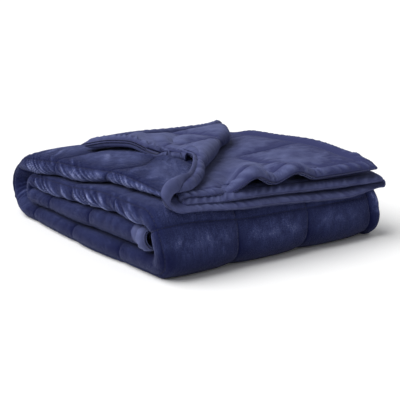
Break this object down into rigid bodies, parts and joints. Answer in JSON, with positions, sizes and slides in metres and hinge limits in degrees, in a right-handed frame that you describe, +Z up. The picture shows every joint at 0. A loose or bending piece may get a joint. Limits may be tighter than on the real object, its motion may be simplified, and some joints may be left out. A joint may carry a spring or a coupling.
{
  "type": "down blanket",
  "caption": "Quilted plush blanket, folded in quarters and rolled flat into a soft pile, with one corner turned back to show its smooth lining.",
  "frame": {"origin": "on the surface the blanket rests on, under the middle of its bounding box", "axes": "+Z up, +X towards the open hems, -Y towards the folded edges that face the front"},
  "size_m": [0.662, 0.5902, 0.2136],
  "materials": {
    "plush": "short pile plush, matte with a soft sheen at the edges",
    "lining": "smooth brushed microfibre, matte"
  },
  "bodies": {
    "root": {"blanket": "plush"}
  },
  "joints": []
}
